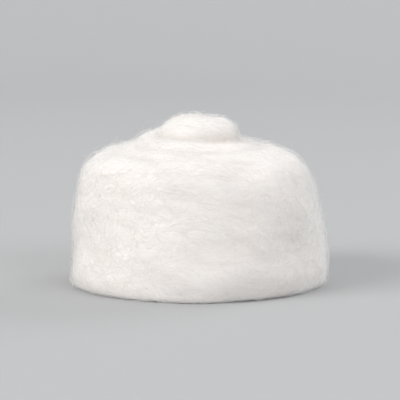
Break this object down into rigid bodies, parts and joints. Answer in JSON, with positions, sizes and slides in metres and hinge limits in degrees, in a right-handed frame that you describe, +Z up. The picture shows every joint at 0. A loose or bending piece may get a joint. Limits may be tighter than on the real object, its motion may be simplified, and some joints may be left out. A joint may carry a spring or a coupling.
{
  "type": "cotton ball",
  "caption": "Soft white cotton ball: a strip of carded cotton rolled up into a short drum, its innermost turns standing up as a low cap, for dabbing and wiping.",
  "frame": {"origin": "on the surface it stands on, under the middle of the object's box", "axes": "+Z up along the axis that the strip is rolled round; -Y faces the picture's camera"},
  "size_m": [0.0368, 0.0386, 0.0246],
  "materials": {
    "cotton": "matte, fibrous, soft and slightly translucent"
  },
  "bodies": {
    "root": {"cotton_ball": "cotton"}
  },
  "joints": []
}
